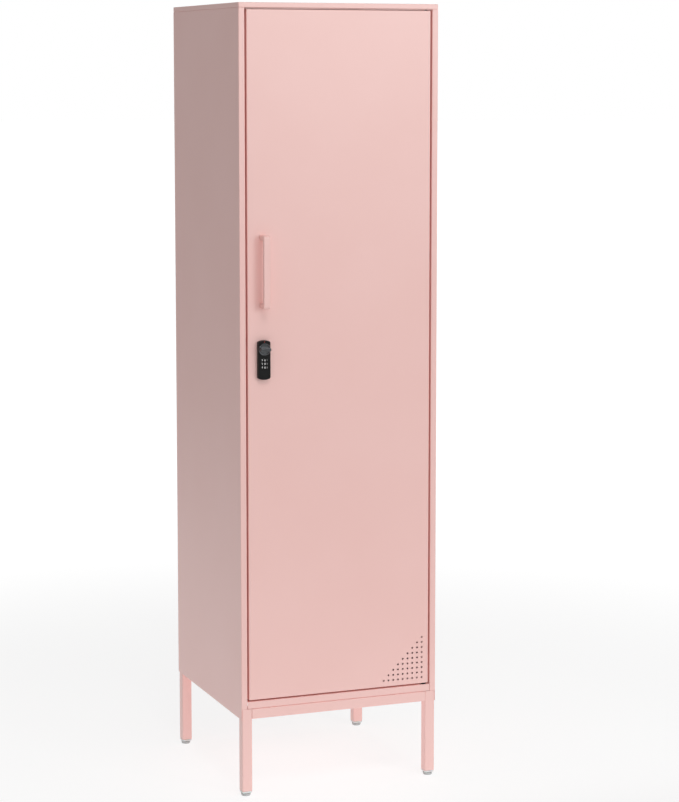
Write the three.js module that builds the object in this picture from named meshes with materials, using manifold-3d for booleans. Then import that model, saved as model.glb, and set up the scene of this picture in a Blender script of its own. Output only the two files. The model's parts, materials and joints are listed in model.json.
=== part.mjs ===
// A single-door steel locker cabinet on a tube base: four compartments, an inset lift-off door on pivot pins,
// a bar handle, a combination cam lock and four levelling feet. Millimetres, +Z up, the door faces -Y.
// The origin is on the floor, under the middle of the whole object's outline.
import * as THREE from "three";
import { mergeVertices } from "three/addons/utils/BufferGeometryUtils.js";
import Module from "manifold-3d";

const wasm = await Module();
wasm.setup();

// ---- Driving dimensions ----
const WIDTH = 400;
const DEPTH = 400;
const HEIGHT = 1500;
const SHEET = 1; // thickness of every folded sheet
const GAP = 0.3; // clearance between pieces that touch
const HALF_W = WIDTH / 2;
const FRONT = -DEPTH / 2;
const BACK = DEPTH / 2;

const TUBE = 20; // side of the square base tube
const TUBE_WALL = 1.2;
const BASE_TOP = 170;
const BASE_BOTTOM = BASE_TOP - TUBE;
const LEG_END = 10; // height of the tube's lower end above the floor

const CAP_EDGE = 10; // height of the top panel's folded edge
const CAP_RETURN = 14;
const BODY_TOP = HEIGHT - CAP_EDGE;

const STILE_FACE = 12; // width of the front upright's face
const STILE_DEPTH = 22;
const STILE_RETURN = 10;
const COLUMN_FACE = 19; // width of the rear upright
const COLUMN_DEPTH = 8;
const COLUMN_RETURN = 14;

const DOOR_WIDTH = 369;
const DOOR_BOTTOM = 187;
const DOOR_TOP = 1487.5;
const DOOR_DEPTH = 20;
const DOOR_LIP = 13;
const DOOR_BACK = FRONT + DOOR_DEPTH;

const STOP_Y = FRONT + 23.5; // middle of the sheet that the shut door's bumpers meet
const SILL_TOP = 184;
const FLOOR_TOP = 192.5;
const HEADER_BOTTOM = 1476;

const PIVOT_X = 177;
const PIVOT_Y = -194.5;
const PIVOT_HOLE_R = 2.8;

const SHELF_TOPS = { lower_shelf: 508, middle_shelf: 834, upper_shelf: 1161 };
const SHELF_EDGE = 14;
const SHELF_LIP = 10;
const SHELF_FRONT = -170;
const SHELF_BACK = 188;
const SLOT_DROP = 12; // from a shelf's top down to the slot that its clip hangs in
const SLOT_PITCH = 50.5;
const SLOT_HEIGHT = 3;
const REAR_SLOT = 11;
const FRONT_SLOT = 7;
const CLIP_SHEET = 1.2;

const LOCK_X = -154.5;
const LOCK_BOTTOM = 800;
const LOCK_TOP = 875;
const LOCK_WIDTH = 24;
const LOCK_FACE = FRONT - 9.5;
const KNOB_Z = 858;
const KNOB_R = 11.8;
const GRIP_LENGTH = 22;
const GRIP_WIDTH = 6.4;
const GRIP_PROUD = 9; // from the lock's face to the grip's top
const DIAL_ZS = { dial_lower: 823.9, dial_middle: 830.7, dial_upper: 837.5 };
const DIAL_R = 8;
const DIAL_HEIGHT = 5.4;
const DIAL_Y = LOCK_FACE + 6.24;
const CAM_FRONT = -177;

const HANDLE_X = -154.1;
const HANDLE_Z = 1002.5;
const HANDLE_LENGTH = 137;
const HANDLE_WIDTH = 12.9;
const HANDLE_PROUD = 24.5;
const HANDLE_PITCH = 128; // between the two screws

const VENT_PITCH = 10;
const VENT_ROWS = 9;
const VENT_R = 1.8;
const VENT_X = 171.2; // the hole in the lower hinge-side corner
const VENT_Z = 199;

const BUMPER_X = -141.5;
const BUMPER_INSET = 6.5;

// ---- Materials ----
const paint = (color, roughness, metalness) => new THREE.MeshStandardMaterial({ color, roughness, metalness });
const PINK = paint(0xe8bdb6, 0.45, 0.1);
const ZINC = paint(0xb9bcc0, 0.35, 0.9);
const BLACK = paint(0x17171a, 0.4, 0.0);
const GUNMETAL = paint(0x4a4c52, 0.3, 0.85);
const RUBBER = paint(0x101010, 0.8, 0.0);
const CLEAR_PLASTIC = paint(0xe6e8e8, 0.4, 0.0);
const GREY_PLASTIC = paint(0x9a9da0, 0.5, 0.0);

// ---- Solids ----
function solid(geometry) {
  geometry.deleteAttribute("normal");
  geometry.deleteAttribute("uv");
  const merged = mergeVertices(geometry, 1e-4);
  const vertProperties = merged.getAttribute("position").array;
  const triVerts = new Uint32Array(merged.index.array);
  return new wasm.Manifold(new wasm.Mesh({ numProp: 3, vertProperties, triVerts }));
}

function geometryOf(body) {
  const mesh = body.getMesh();
  const geometry = new THREE.BufferGeometry();
  geometry.setAttribute("position", new THREE.BufferAttribute(mesh.vertProperties, 3));
  geometry.setIndex(new THREE.BufferAttribute(mesh.triVerts, 1));
  const shown = geometry.toNonIndexed();
  shown.computeVertexNormals();
  return shown;
}

function block(x0, x1, y0, y1, z0, z1) {
  const box = new THREE.BoxGeometry(x1 - x0, y1 - y0, z1 - z0);
  return solid(box.translate((x0 + x1) / 2, (y0 + y1) / 2, (z0 + z1) / 2));
}

// An outline drawn in (x, y), (y, z) or (x, z), carried along the third axis from one place to another.
function prism(shape, axis, from, to) {
  const geometry = new THREE.ExtrudeGeometry(shape, { depth: to - from, bevelEnabled: false, curveSegments: 6 });
  if (axis === "z") return solid(geometry.translate(0, 0, from));
  if (axis === "y") return solid(geometry.rotateX(Math.PI / 2).translate(0, to, 0));
  const turn = new THREE.Matrix4().set(0, 0, 1, 0, 1, 0, 0, 0, 0, 1, 0, 0, 0, 0, 0, 1);
  return solid(geometry.applyMatrix4(turn).translate(from, 0, 0));
}

const outline = (points) => new THREE.Shape(points.map(([u, v]) => new THREE.Vector2(u, v)));

// The closed outline of a folded sheet, from the line along the middle of its thickness.
function folded(points, thickness = SHEET) {
  const line = points.map(([u, v]) => new THREE.Vector2(u, v));
  const side = (offset) =>
    line.map((p, i) => {
      const before = i > 0 ? p.clone().sub(line[i - 1]).normalize() : null;
      const after = i < line.length - 1 ? line[i + 1].clone().sub(p).normalize() : null;
      const along = (before ?? after).clone();
      const normal = new THREE.Vector2(-along.y, along.x);
      if (!before || !after) return p.clone().addScaledVector(normal, offset);
      const nextNormal = new THREE.Vector2(-after.y, after.x);
      const mitre = normal.clone().add(nextNormal).normalize();
      return p.clone().addScaledVector(mitre, offset / mitre.dot(normal));
    });
  return new THREE.Shape([...side(thickness / 2), ...side(-thickness / 2).reverse()]);
}

// A solid of revolution from a closed half outline of [radius, height] points, standing along an axis.
function turned(points, axis, centre, segments = 24) {
  const profile = points.map(([r, h]) => new THREE.Vector2(r, h));
  const geometry = new THREE.LatheGeometry([...profile, profile[0]], segments);
  if (axis === "z") geometry.rotateX(Math.PI / 2);
  return solid(geometry.translate(...centre));
}

const rod = (radius, axis, centre, from, to, segments = 24) =>
  turned([[0, from], [radius, from], [radius, to], [0, to]], axis, centre, segments);

// A shallow folded tray: an open box with a lip turned in round its mouth.
function tray([x0, x1], [y0, y1], [z0, z1], mouth, lip) {
  const t = SHEET;
  const inner = block(x0 + t, x1 - t, y0 + t, y1 - t, z0 + t, z1 - t);
  const shell = block(x0, x1, y0, y1, z0, z1).subtract(inner);
  if (mouth === "+y") return shell.subtract(block(x0 + lip, x1 - lip, y1 - 2 * t, y1 + t, z0 + lip, z1 - lip));
  return shell.subtract(block(x0 + lip, x1 - lip, y0 + lip, y1 - lip, z0 - t, z0 + 2 * t));
}

const unite = (bodies) => bodies.reduce((sum, body) => sum.add(body));
const cut = (body, tools) => tools.reduce((rest, tool) => rest.subtract(tool), body);

const locker = new THREE.Group();
locker.name = "locker_cabinet";
const cabinet = new THREE.Group();
cabinet.position.y = HANDLE_PROUD / 2; // centres the outline, handle included, on the origin
locker.add(cabinet);

function addPiece(name, body, material) {
  const mesh = new THREE.Mesh(geometryOf(body), material);
  mesh.name = name;
  cabinet.add(mesh);
}

// ---- Body panels ----
const sheetMiddle = HALF_W - SHEET / 2;
const stileInside = HALF_W - STILE_FACE;
const backSheet = BACK - SHEET - GAP - SHEET / 2; // middle of the side panels' rear wall
const columnFront = backSheet - COLUMN_DEPTH + SHEET;
const stileBack = FRONT + STILE_DEPTH - SHEET / 2;
const rearSlotX = HALF_W - COLUMN_FACE / 2;
const frontSlotX = stileInside + 4.8;

const slotZs = Object.values(SHELF_TOPS).flatMap((top) =>
  [-1, 0, 1].map((step) => top - SLOT_DROP + step * SLOT_PITCH),
);

function slotCutters(side) {
  return slotZs.flatMap((z) => {
    const z0 = z - SLOT_HEIGHT / 2;
    const z1 = z + SLOT_HEIGHT / 2;
    const cutter = (x, width, y) => block(side * x - width / 2, side * x + width / 2, y - 1, y + 1, z0, z1);
    return [cutter(rearSlotX, REAR_SLOT, columnFront), cutter(frontSlotX, FRONT_SLOT, stileBack)];
  });
}

// One sheet: box-folded front stile, outer skin, box-folded rear column, and a skirt over the base tubes.
function sidePanel(side) {
  const path = [
    [stileInside + STILE_RETURN, stileBack],
    [stileInside + SHEET / 2, stileBack],
    [stileInside + SHEET / 2, FRONT + SHEET / 2],
    [sheetMiddle, FRONT + SHEET / 2],
    [sheetMiddle, backSheet],
    [HALF_W - COLUMN_FACE + SHEET / 2, backSheet],
    [HALF_W - COLUMN_FACE + SHEET / 2, columnFront],
    [HALF_W - COLUMN_FACE + COLUMN_RETURN, columnFront],
  ];
  const profile = folded(path.map(([x, y]) => [side * x, y]));
  const skirtX = [side * HALF_W, side * (HALF_W - SHEET)].sort((a, b) => a - b);
  const skirt = block(...skirtX, FRONT, backSheet + SHEET / 2, BASE_BOTTOM, BASE_TOP + 2 * GAP);
  return cut(prism(profile, "z", BASE_TOP + GAP, BODY_TOP).add(skirt), slotCutters(side));
}

addPiece("left_side_panel", sidePanel(-1), PINK);
addPiece("right_side_panel", sidePanel(1), PINK);

const backPanel = block(-HALF_W + GAP, HALF_W - GAP, BACK - SHEET, BACK, BASE_BOTTOM, BODY_TOP - GAP);
addPiece("back_panel", backPanel, PINK);

const pivotAt = (from, to, radius) => rod(radius, "z", [PIVOT_X, PIVOT_Y, 0], from, to, 16);

const cap = tray([-HALF_W, HALF_W], [FRONT, BACK], [BODY_TOP + GAP, HEIGHT], "-z", CAP_RETURN);
addPiece("top_panel", cut(cap, [pivotAt(BODY_TOP - 1, BODY_TOP + 3, PIVOT_HOLE_R + GAP)]), PINK);

const insideStiles = stileInside - 2 * GAP - 0.2;
const headerPath = [
  [FRONT + GAP, BODY_TOP - GAP - SHEET / 2],
  [STOP_Y, BODY_TOP - GAP - SHEET / 2],
  [STOP_Y, HEADER_BOTTOM],
];
const header = prism(folded(headerPath), "x", -insideStiles, insideStiles);
addPiece("top_header", header.subtract(pivotAt(BODY_TOP - 3, BODY_TOP + 1, PIVOT_HOLE_R)), PINK);

// Fascia, sill, door-stop riser, floor and rear flange in one fold, widened behind the stiles.
function floorPanel() {
  const fasciaBottom = BASE_TOP + GAP + 0.5;
  const rear = 190;
  const top = FLOOR_TOP - SHEET / 2;
  const path = [
    [FRONT + SHEET / 2, fasciaBottom],
    [FRONT + SHEET / 2, SILL_TOP - SHEET / 2],
    [STOP_Y, SILL_TOP - SHEET / 2],
    [STOP_Y, top],
    [rear, top],
    [rear, fasciaBottom],
  ];
  const wing = HALF_W - SHEET - 2 * GAP;
  const wingFront = STOP_Y + 2;
  const pieces = [prism(folded(path), "x", -insideStiles, insideStiles)];
  for (const side of [-1, 1]) {
    const plate = [side * (insideStiles - 1), side * wing].sort((a, b) => a - b);
    const flange = [side * (wing - SHEET), side * wing].sort((a, b) => a - b);
    pieces.push(block(...plate, wingFront, rear, FLOOR_TOP - SHEET, FLOOR_TOP));
    pieces.push(block(...flange, wingFront, rear, fasciaBottom, FLOOR_TOP));
  }
  const between = HALF_W - COLUMN_FACE - GAP;
  pieces.push(block(-between, between, rear - 1, backSheet + SHEET / 2, FLOOR_TOP - SHEET, FLOOR_TOP));
  return unite(pieces).subtract(pivotAt(SILL_TOP - 3, SILL_TOP + 1, PIVOT_HOLE_R));
}
addPiece("floor_panel", floorPanel(), PINK);

// ---- Shelves and the clips that carry them ----
function shelf(top) {
  const reach = HALF_W - SHEET - 2 * GAP;
  const pan = tray([-reach, reach], [SHELF_FRONT, SHELF_BACK], [top - SHELF_EDGE, top], "-z", SHELF_LIP);
  const between = HALF_W - COLUMN_FACE - 2 * GAP;
  return pan.add(block(-between, between, SHELF_BACK - 1, backSheet + SHEET / 2, top - SHEET, top));
}

// A bent strip: a hook through the slot and down behind it, and a tongue under the shelf's edge.
// facing is 1 in the rear columns, where the hook points back, and -1 in the front stiles.
function clip(x, width, wallY, facing, top) {
  const face = wallY - facing * (SHEET / 2 + GAP + CLIP_SHEET / 2);
  const hook = wallY + facing * (SHEET / 2 + 2 * GAP + CLIP_SHEET / 2);
  const tongue = top - SHELF_EDGE - 2 * GAP - CLIP_SHEET / 2;
  const path = [
    [face - facing * 14, tongue],
    [face, tongue],
    [face, top - SLOT_DROP],
    [hook, top - SLOT_DROP],
    [hook, top - SLOT_DROP - 5],
  ];
  return prism(folded(path, CLIP_SHEET), "x", x - width / 2, x + width / 2);
}

for (const [name, top] of Object.entries(SHELF_TOPS)) {
  addPiece(name, shelf(top), PINK);
  for (const [sideName, side] of [["left", -1], ["right", 1]]) {
    addPiece(name + "_clip_rear_" + sideName, clip(side * rearSlotX, 9, columnFront, 1, top), ZINC);
    addPiece(name + "_clip_front_" + sideName, clip(side * frontSlotX, 5, stileBack, -1, top), ZINC);
  }
}

// ---- Base: legs, rails, inserts and levelling feet ----
const legOuter = HALF_W - SHEET - GAP;
const legMiddleX = legOuter - TUBE / 2;
const frontLegY = FRONT + TUBE / 2;
const backLegY = backSheet + SHEET / 2 - TUBE / 2;

// A hollow square tube, its ends open, along x, y or z, about a centre line.
function squareTube(axis, centre, from, to) {
  const half = TUBE / 2;
  const bore = half - TUBE_WALL;
  const bar = (r, start, end) => {
    const low = centre.map((c) => c - r);
    const high = centre.map((c) => c + r);
    const at = { x: 0, y: 1, z: 2 }[axis];
    low[at] = start;
    high[at] = end;
    return block(low[0], high[0], low[1], high[1], low[2], high[2]);
  };
  return bar(half, from, to).subtract(bar(bore, from - 1, to + 1));
}

const railZ = (BASE_TOP + BASE_BOTTOM) / 2;
const railEnd = legMiddleX - TUBE / 2 - GAP;
addPiece("base_rail_front", squareTube("x", [0, frontLegY, railZ], -railEnd, railEnd), PINK);
addPiece("base_rail_back", squareTube("x", [0, backLegY, railZ], -railEnd, railEnd), PINK);
const sideRail = [frontLegY + TUBE / 2 + GAP, backLegY - TUBE / 2 - GAP];
addPiece("base_rail_left", squareTube("y", [-legMiddleX, 0, railZ], ...sideRail), PINK);
addPiece("base_rail_right", squareTube("y", [legMiddleX, 0, railZ], ...sideRail), PINK);

// Plastic plug in the tube's end, with a collar as wide as the tube and a bore for the foot's stem.
function footInsert(x, y) {
  const plug = TUBE / 2 - TUBE_WALL - GAP;
  const collar = TUBE / 2 - 0.2;
  const body = unite([
    block(x - plug, x + plug, y - plug, y + plug, LEG_END - 1, LEG_END + 16),
    block(x - collar, x + collar, y - collar, y + collar, LEG_END - 3.8, LEG_END - GAP),
  ]);
  return body.subtract(rod(4.3, "z", [x, y, 0], 0, LEG_END + 20, 20));
}

const footProfile = [[0, 0], [8, 0], [8.6, 0.8], [9.4, 5], [8.9, 5.8], [4, 5.8], [4, 33], [3, 34], [0, 34]];
const corners = [["front_left", -1, frontLegY], ["front_right", 1, frontLegY]];
corners.push(["back_left", -1, backLegY], ["back_right", 1, backLegY]);
for (const [name, side, y] of corners) {
  const x = side * legMiddleX;
  addPiece("leg_" + name, squareTube("z", [x, y, 0], LEG_END, BASE_TOP), PINK);
  addPiece("foot_insert_" + name, footInsert(x, y), CLEAR_PLASTIC);
  addPiece("levelling_foot_" + name, turned(footProfile, "z", [x, y, 0], 20), GREY_PLASTIC);
}

// ---- Door ----
function ventHoles() {
  const holes = [];
  for (let column = 0; column < VENT_ROWS; column++) {
    for (let row = 0; row < VENT_ROWS - column; row++) {
      const centre = [VENT_X - column * VENT_PITCH, 0, VENT_Z + row * VENT_PITCH];
      holes.push(rod(VENT_R, "y", centre, FRONT - 1, FRONT + SHEET + 1, 8));
    }
  }
  return holes;
}

const handleScrewZs = { upper: HANDLE_Z + HANDLE_PITCH / 2, lower: HANDLE_Z - HANDLE_PITCH / 2 };
const bumperZs = { upper: DOOR_TOP - BUMPER_INSET, lower: DOOR_BOTTOM + BUMPER_INSET };

function doorPanel() {
  const half = DOOR_WIDTH / 2;
  const pan = tray([-half, half], [FRONT, DOOR_BACK], [DOOR_BOTTOM, DOOR_TOP], "+y", DOOR_LIP);
  const lockHole = block(LOCK_X - 10.3, LOCK_X + 10.3, FRONT - 1, FRONT + 2, LOCK_BOTTOM + 4.5, LOCK_TOP - 4.5);
  const screwHoles = Object.values(handleScrewZs).map((z) =>
    rod(2.3, "y", [HANDLE_X, 0, z], FRONT - 1, FRONT + 2, 12),
  );
  const bumperHoles = Object.values(bumperZs).map((z) =>
    rod(2.3, "y", [BUMPER_X, 0, z], DOOR_BACK - 2, DOOR_BACK + 1, 12),
  );
  const pivots = [pivotAt(DOOR_BOTTOM - 1, DOOR_BOTTOM + 2, PIVOT_HOLE_R)];
  pivots.push(pivotAt(DOOR_TOP - 2, DOOR_TOP + 1, PIVOT_HOLE_R));
  return cut(pan, [...ventHoles(), lockHole, ...screwHoles, ...bumperHoles, ...pivots]);
}
addPiece("door_panel", doorPanel(), PINK);

const hatFace = 28.5; // half the width of the stiffener's face, to the middle of the sheet
const hatFlange = FRONT + SHEET + GAP + SHEET / 2;
const hatBack = DOOR_BACK - SHEET - GAP - SHEET / 2 - 0.2;
const hatPath = [
  [-hatFace - 12, hatFlange],
  [-hatFace, hatFlange],
  [-hatFace, hatBack],
  [hatFace, hatBack],
  [hatFace, hatFlange],
  [hatFace + 12, hatFlange],
];
const hat = prism(folded(hatPath), "z", DOOR_BOTTOM + SHEET + GAP, DOOR_TOP - SHEET - GAP);
addPiece("door_stiffener", hat, PINK);

for (const [name, z] of Object.entries(bumperZs)) {
  const [seat, face] = [DOOR_BACK + GAP, STOP_Y - SHEET / 2 - GAP];
  const stem = DOOR_BACK - 3;
  const profile = [[0, stem], [2, stem], [2, seat], [5, seat], [5, face - 0.6], [4.2, face], [0, face]];
  addPiece("door_bumper_" + name, turned(profile, "y", [BUMPER_X, 0, z], 20), RUBBER);
}

// ---- Handle ----
// A bar with rounded outer corners on two legs, its screw holes blind from the door side.
function handle() {
  const foot = FRONT - GAP;
  const outer = FRONT - HANDLE_PROUD;
  const inner = outer + 7;
  const [z0, z1] = [HANDLE_Z - HANDLE_LENGTH / 2, HANDLE_Z + HANDLE_LENGTH / 2];
  const [g0, g1] = [z0 + 9.5, z1 - 9.5];
  const side = new THREE.Shape();
  side.moveTo(foot, z0);
  side.lineTo(outer + 6, z0);
  side.absarc(outer + 6, z0 + 6, 6, -Math.PI / 2, -Math.PI, true);
  side.lineTo(outer, z1 - 6);
  side.absarc(outer + 6, z1 - 6, 6, Math.PI, Math.PI / 2, true);
  side.lineTo(foot, z1);
  side.lineTo(foot, g1);
  side.lineTo(inner + 7, g1);
  side.absarc(inner + 7, g1 - 7, 7, Math.PI / 2, Math.PI, false);
  side.lineTo(inner, g0 + 7);
  side.absarc(inner + 7, g0 + 7, 7, Math.PI, 1.5 * Math.PI, false);
  side.lineTo(foot, g0);
  const bar = prism(side, "x", HANDLE_X - HANDLE_WIDTH / 2, HANDLE_X + HANDLE_WIDTH / 2);
  return cut(
    bar,
    Object.values(handleScrewZs).map((z) => rod(2.3, "y", [HANDLE_X, 0, z], foot - 13, foot + 1, 12)),
  );
}
addPiece("door_handle", handle(), PINK);

for (const [name, z] of Object.entries(handleScrewZs)) {
  const seat = FRONT + SHEET + GAP;
  const profile = [[0, seat - 12], [2, seat - 12], [2, seat], [4, seat], [3.4, seat + 2], [0, seat + 2.4]];
  addPiece("handle_screw_" + name, turned(profile, "y", [HANDLE_X, 0, z], 16), ZINC);
}

// ---- Hinge pins ----
const housingTop = DOOR_TOP - SHEET - GAP;
const housingBottom = 1456;
const springSeat = [housingBottom + 4.5, housingTop - 4.2]; // the pocket round the pin for its spring
const collarZ = 1478;

function pinHousing() {
  const body = block(158.5, 183.2, FRONT + SHEET + GAP, -186, housingBottom, housingTop);
  return cut(body, [
    pivotAt(housingBottom - 1, housingTop + 1, PIVOT_HOLE_R),
    rod(3.9, "z", [PIVOT_X, PIVOT_Y, 0], ...springSeat, 20),
  ]);
}
addPiece("hinge_pin_housing", pinHousing(), BLACK);

// The sprung upper pin: its tip stands through the header, and a finger lever at its foot draws it down.
const leverTop = housingBottom - 3.5;
const leverBottom = leverTop - 4;

function upperPin() {
  const shaft = turned(
    [[0, leverBottom], [2.5, leverBottom], [2.5, 1493], [1.6, 1494], [0, 1494]],
    "z",
    [PIVOT_X, PIVOT_Y, 0],
    16,
  );
  return shaft.add(rod(3.6, "z", [PIVOT_X, PIVOT_Y, 0], collarZ, collarZ + 1.5, 20));
}
addPiece("upper_hinge_pin", upperPin(), BLACK);

function pinLever() {
  const eye = pivotAt(leverBottom, leverTop, 4);
  const bar = block(146, PIVOT_X, PIVOT_Y - 1.8, PIVOT_Y + 1.8, leverBottom, leverTop);
  return eye.add(bar).subtract(pivotAt(leverBottom - 1, leverTop + 1, PIVOT_HOLE_R));
}
addPiece("hinge_pin_lever", pinLever(), ZINC);

// Compression spring round the pin, between the pocket's floor and the pin's collar.
class Helix extends THREE.Curve {
  constructor(radius, turns, from, to) {
    super();
    Object.assign(this, { radius, turns, from, to });
  }
  getPoint(t, target = new THREE.Vector3()) {
    const angle = 2 * Math.PI * this.turns * t;
    const height = this.from + (this.to - this.from) * t;
    return target.set(this.radius * Math.cos(angle), this.radius * Math.sin(angle), height);
  }
}

function hingeSpring() {
  const wire = 0.35;
  const turns = 5;
  const path = new Helix(3.25, turns, springSeat[0] + wire + GAP, collarZ - wire - GAP);
  const ring = new THREE.Shape().absarc(0, 0, wire, 0, 2 * Math.PI, false);
  const coil = new THREE.ExtrudeGeometry(ring, { steps: turns * 12, curveSegments: 3, extrudePath: path });
  return solid(coil.translate(PIVOT_X, PIVOT_Y, 0));
}
addPiece("hinge_spring", hingeSpring(), ZINC);

function lowerPin() {
  const plate = DOOR_BOTTOM + SHEET + GAP;
  const shaft = turned(
    [[0, 178], [1.7, 178], [2.5, 179], [2.5, plate + 7], [0, plate + 7]],
    "z",
    [PIVOT_X, PIVOT_Y, 0],
    16,
  );
  return shaft.add(block(168, 183.2, FRONT + SHEET + GAP, -187, plate, plate + 2));
}
addPiece("lower_hinge_pin", lowerPin(), BLACK);

const washerZ = [SILL_TOP + GAP, DOOR_BOTTOM - GAP];
const washer = [[PIVOT_HOLE_R, washerZ[0]], [5, washerZ[0]], [5, washerZ[1]], [PIVOT_HOLE_R, washerZ[1]]];
addPiece("lower_hinge_washer", turned(washer, "z", [PIVOT_X, PIVOT_Y, 0], 20), BLACK);

// ---- Combination lock ----
const lockMiddle = (LOCK_BOTTOM + LOCK_TOP) / 2;

// The oblong front case: straight sides, slightly arched ends and rounded corners.
function caseOutline() {
  const half = LOCK_WIDTH / 2;
  const corner = 4;
  const rise = 3; // how far the ends arch
  const [z0, z1] = [LOCK_BOTTOM, LOCK_TOP];
  const shape = new THREE.Shape();
  shape.moveTo(LOCK_X - half, z0 + rise + corner);
  shape.quadraticCurveTo(LOCK_X - half, z0 + rise, LOCK_X - half + corner, z0 + rise - 1);
  shape.quadraticCurveTo(LOCK_X, z0 - 1, LOCK_X + half - corner, z0 + rise - 1);
  shape.quadraticCurveTo(LOCK_X + half, z0 + rise, LOCK_X + half, z0 + rise + corner);
  shape.lineTo(LOCK_X + half, z1 - rise - corner);
  shape.quadraticCurveTo(LOCK_X + half, z1 - rise, LOCK_X + half - corner, z1 - rise + 1);
  shape.quadraticCurveTo(LOCK_X, z1 + 1, LOCK_X - half + corner, z1 - rise + 1);
  shape.quadraticCurveTo(LOCK_X - half, z1 - rise, LOCK_X - half, z1 - rise - corner);
  return shape;
}

const spindleHole = (radius, from, to) => rod(radius, "y", [LOCK_X, 0, KNOB_Z], from, to, 20);
const dialAxis = (radius, from, to) => rod(radius, "z", [LOCK_X, DIAL_Y, 0], from, to, 12);
const lockRear = FRONT + 10;
const dialLevels = Object.values(DIAL_ZS);
const dialPocket = [Math.min(...dialLevels) - DIAL_HEIGHT / 2 - 0.9, Math.max(...dialLevels) + DIAL_HEIGHT / 2 + 0.9];

function lockHousing() {
  const front = prism(caseOutline(), "y", LOCK_FACE, FRONT - GAP);
  const rear = block(LOCK_X - 9.7, LOCK_X + 9.7, FRONT - 1, lockRear, LOCK_BOTTOM + 5, LOCK_TOP - 5);
  const windows = dialLevels.map((z) =>
    block(LOCK_X - 6.4, LOCK_X + 6.4, LOCK_FACE - 1, LOCK_FACE + 2, z - DIAL_HEIGHT / 2 - GAP, z + DIAL_HEIGHT / 2 + GAP),
  );
  const pocket = block(LOCK_X - 8.6, LOCK_X + 8.6, LOCK_FACE + 1, lockRear + 1, ...dialPocket);
  return cut(front.add(rear), [
    ...windows,
    pocket,
    dialAxis(1.8, dialPocket[0] - 2.5, dialPocket[1] + 2.5),
    spindleHole(4.3, LOCK_FACE - 1, lockRear + 1),
  ]);
}
addPiece("lock_housing", lockHousing(), BLACK);

for (const [name, z] of Object.entries(DIAL_ZS)) {
  const [z0, z1] = [z - DIAL_HEIGHT / 2, z + DIAL_HEIGHT / 2];
  const wheel = [[1.8, z0], [DIAL_R - 0.5, z0], [DIAL_R, z0 + 0.5], [DIAL_R, z1 - 0.5], [DIAL_R - 0.5, z1], [1.8, z1]];
  addPiece(name, turned(wheel, "z", [LOCK_X, DIAL_Y, 0], 30), BLACK);
}
addPiece("dial_shaft", dialAxis(1.5, dialPocket[0] - 2.2, dialPocket[1] + 2.2), ZINC);

const coverBack = DOOR_BACK - 2;
const coverScrewZ = 809;

function lockCover() {
  const r = 12;
  const stadium = new THREE.Shape();
  stadium.absarc(LOCK_X, LOCK_TOP - r, r, 0, Math.PI, false);
  stadium.absarc(LOCK_X, LOCK_BOTTOM + r, r, Math.PI, 2 * Math.PI, false);
  const shell = prism(stadium, "y", FRONT + SHEET + GAP, coverBack);
  const inside = block(LOCK_X - 10, LOCK_X + 10, FRONT, coverBack - 3, LOCK_BOTTOM + 4.7, LOCK_TOP - 4.7);
  const resetSlot = block(LOCK_X - 1.2, LOCK_X + 1.2, coverBack - 4, coverBack + 1, 814, 822);
  const screwHole = rod(1.8, "y", [LOCK_X, 0, coverScrewZ], coverBack - 4, coverBack + 1, 12);
  return cut(shell, [inside, spindleHole(4.5, coverBack - 4, coverBack + 1), resetSlot, screwHole]);
}
addPiece("lock_back_cover", lockCover(), BLACK);

const coverScrew = [
  [0, coverBack - 5],
  [1.5, coverBack - 5],
  [1.5, coverBack + GAP],
  [2.6, coverBack + GAP],
  [2.1, coverBack + 1.6],
  [0, coverBack + 1.8],
];
addPiece("lock_cover_screw", turned(coverScrew, "y", [LOCK_X, 0, coverScrewZ], 16), ZINC);

// Disc, grip bar and spindle in one piece; the cam and its nut sit on the spindle's inner end.
const spindleEnd = CAM_FRONT + 7.7;

function lockKnob() {
  const disc = [
    [0, LOCK_FACE - 2.5],
    [KNOB_R - 0.8, LOCK_FACE - 2.5],
    [KNOB_R, LOCK_FACE - 1.7],
    [KNOB_R, LOCK_FACE - GAP],
    [4, LOCK_FACE - GAP],
    [4, spindleEnd],
    [0, spindleEnd],
  ];
  const [halfLength, halfWidth] = [GRIP_LENGTH / 2, GRIP_WIDTH / 2];
  const top = LOCK_FACE - GRIP_PROUD;
  const grip = outline([
    [LOCK_X - halfLength, LOCK_FACE - 2],
    [LOCK_X - halfLength + 1, top + 1],
    [LOCK_X - halfLength + 3, top],
    [LOCK_X + halfLength - 3, top],
    [LOCK_X + halfLength - 1, top + 1],
    [LOCK_X + halfLength, LOCK_FACE - 2],
  ]);
  const bar = prism(grip, "z", KNOB_Z - halfWidth, KNOB_Z + halfWidth);
  return turned(disc, "y", [LOCK_X, 0, KNOB_Z], 32).add(bar);
}
addPiece("lock_knob", lockKnob(), GUNMETAL);

// Flat bar with a pointed nose, on a hub that spaces it behind the stile.
function lockCam() {
  const half = 9;
  const reach = 38;
  const bar = outline([
    [LOCK_X - half, KNOB_Z - half],
    [LOCK_X + half, KNOB_Z - half],
    [LOCK_X + half, KNOB_Z + reach - 7],
    [LOCK_X + 3, KNOB_Z + reach],
    [LOCK_X - 3, KNOB_Z + reach],
    [LOCK_X - half, KNOB_Z + reach - 7],
  ]);
  const plate = prism(bar, "y", CAM_FRONT, CAM_FRONT + 2.5);
  const hub = rod(8, "y", [LOCK_X, 0, KNOB_Z], coverBack + GAP, CAM_FRONT + 1, 24);
  return plate.add(hub).subtract(spindleHole(4.3, coverBack, CAM_FRONT + 4));
}
addPiece("lock_cam", lockCam(), GUNMETAL);

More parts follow.
